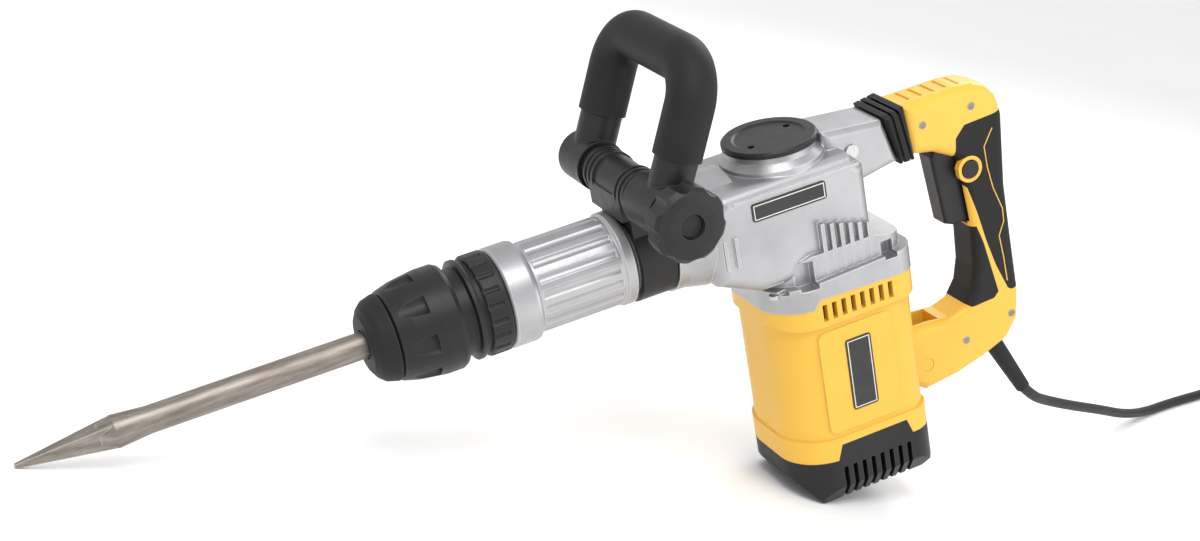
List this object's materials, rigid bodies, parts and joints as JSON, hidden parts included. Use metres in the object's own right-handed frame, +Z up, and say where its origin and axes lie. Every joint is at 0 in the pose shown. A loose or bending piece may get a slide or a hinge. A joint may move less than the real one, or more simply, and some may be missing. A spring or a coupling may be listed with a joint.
{
  "type": "demolition hammer",
  "caption": "Electric demolition hammer with point chisel, clamp-on loop side handle, sprung rear handle with trigger, and mains cord with coil and plug.",
  "frame": {"origin": "bottom centre of the tool's box, on the surface it stands on", "axes": "+X from the chisel tip to the rear handle, +Y to the side away from the clamp knob, +Z up; the barrel slopes 22.7 degrees nose down"},
  "size_m": [1.3071, 0.4124, 0.3216],
  "materials": {
    "yellow_plastic": "satin moulded plastic",
    "black_plastic": "fine textured moulded plastic",
    "black_rubber": "soft matt rubber",
    "cast_alloy": "as cast, painted silver",
    "steel": "ground steel",
    "forged_steel": "dark forged steel",
    "copper_winding": "enamelled copper",
    "laminations": "stacked sheet",
    "carbon": "carbon",
    "brass": "bare brass",
    "label": "black film"
  },
  "bodies": {
    "hammer": {"barrel_housing": "cast_alloy", "brush_holders": "brass", "carbon_brushes": "carbon", "cord_coil": "black_rubber", "cord_tail": "black_rubber", "cord_tie": "black_plastic", "cord_tube": "black_rubber", "crank_bearings": "steel", "crank_cover": "black_plastic", "cylinder_tube": "steel", "end_cap_screws": "steel", "field_coils": "copper_winding", "gear_housing": "cast_alloy", "gear_label": "label", "motor_bearing_foot": "steel", "motor_bearing_top": "steel", "motor_end_cap": "black_plastic", "motor_housing": "yellow_plastic", "motor_label": "label", "motor_screws": "steel", "neck_screws": "steel", "pivot_pin": "steel", "plug_body": "black_rubber", "plug_pins": "brass", "stator": "laminations", "strain_relief": "black_rubber"},
    "chuck": {"tool_holder": "steel", "locking_balls": "steel", "nose_cap": "black_rubber", "index_ring": "black_plastic"},
    "locking_sleeve": {"chuck_sleeve": "black_plastic"},
    "chisel_body": {"chisel": "forged_steel"},
    "bolt_body": {"impact_bolt": "steel"},
    "striker_body": {"striker": "steel", "striker_ring": "black_rubber"},
    "piston_body": {"piston": "cast_alloy", "piston_ring": "black_rubber", "wrist_pin": "steel", "con_rod": "steel", "crank_pin": "steel"},
    "crank": {"crank_gear": "steel"},
    "rotor": {"rotor_shaft": "steel", "rotor_core": "laminations", "commutator": "copper_winding", "cooling_fan": "black_plastic"},
    "side_clamp": {"clamp_band": "black_plastic", "clamp_bolt": "steel"},
    "loop_handle": {"loop_frame": "black_plastic", "loop_grip": "black_rubber"},
    "knob": {"clamp_knob": "black_plastic", "knob_nut": "steel"},
    "rear_handle": {"handle_half_near": "yellow_plastic", "handle_half_far": "yellow_plastic", "rear_grip": "black_rubber", "front_grip": "black_rubber", "switch": "black_plastic", "handle_screws": "steel", "bellows": "black_rubber"},
    "trigger_body": {"trigger": "black_plastic"},
    "lock_body": {"lock_button": "black_plastic"}
  },
  "joints": [
    {"name": "chuck_index", "type": "hinge", "parent": "hammer", "child": "chuck", "pos_m": [-0.04545, 0.012, 0.13049], "axis": [0.9225, 0, 0.3859], "continuous": true},
    {"name": "sleeve_pull", "type": "slide", "parent": "chuck", "child": "locking_sleeve", "axis": [0.9225, 0, 0.3859], "range_m": [0, 0.008], "stiffness_N_per_m": 1500, "springref_m": -0.008},
    {"name": "chisel_slide", "type": "slide", "parent": "chuck", "child": "chisel_body", "axis": [-0.9225, 0, -0.3859], "range_m": [0, 0.018]},
    {"name": "bolt_slide", "type": "slide", "parent": "hammer", "child": "bolt_body", "axis": [0.9225, 0, 0.3859], "range_m": [0, 0.005]},
    {"name": "striker_slide", "type": "slide", "parent": "hammer", "child": "striker_body", "axis": [0.9225, 0, 0.3859], "range_m": [-0.006, 0.009]},
    {"name": "piston_slide", "type": "slide", "parent": "hammer", "child": "piston_body", "axis": [0.9225, 0, 0.3859], "range_m": [0, 0.024]},
    {"name": "rotor_spin", "type": "hinge", "parent": "hammer", "child": "rotor", "pos_m": [0.19668, 0.012, 0.12338], "axis": [-0.3859, 0, 0.9225], "continuous": true},
    {"name": "crank_spin", "type": "hinge", "parent": "hammer", "child": "crank", "pos_m": [0.15064, 0.012, 0.18], "axis": [-0.3859, 0, 0.9225], "continuous": true},
    {"name": "clamp_turn", "type": "hinge", "parent": "hammer", "child": "side_clamp", "pos_m": [0.03204, 0.012, 0.16291], "axis": [0.9225, 0, 0.3859], "range_deg": [-90, 90]},
    {"name": "loop_lean", "type": "hinge", "parent": "side_clamp", "child": "loop_handle", "pos_m": [0.0179, 0.012, 0.21227], "axis": [0, 1, 0], "range_deg": [-110, 25]},
    {"name": "knob_turn", "type": "hinge", "parent": "side_clamp", "child": "knob", "pos_m": [0.0179, -0.078, 0.21227], "axis": [0, 1, 0], "range_deg": [0, 360]},
    {"name": "handle_float", "type": "hinge", "parent": "hammer", "child": "rear_handle", "pos_m": [0.28413, 0.012, 0.09926], "axis": [0, 1, 0], "range_deg": [-1.4, 0], "stiffness_Nm_per_rad": 400, "springref_deg": 3.44, "deforming": ["bellows"]},
    {"name": "trigger_pull", "type": "hinge", "parent": "rear_handle", "child": "trigger_body", "pos_m": [0.26431, 0.012, 0.25031], "axis": [0, 1, 0], "range_deg": [-5, 0], "stiffness_Nm_per_rad": 2, "springref_deg": 11.46},
    {"name": "lock_push", "type": "slide", "parent": "rear_handle", "child": "lock_body", "axis": [0, 1, 0], "range_m": [0, 0.002], "stiffness_N_per_m": 300, "springref_m": -0.002}
  ],
  "couplings": [
    {"joint": "crank_spin", "follows": "rotor_spin", "ratio": -0.22222}
  ]
}
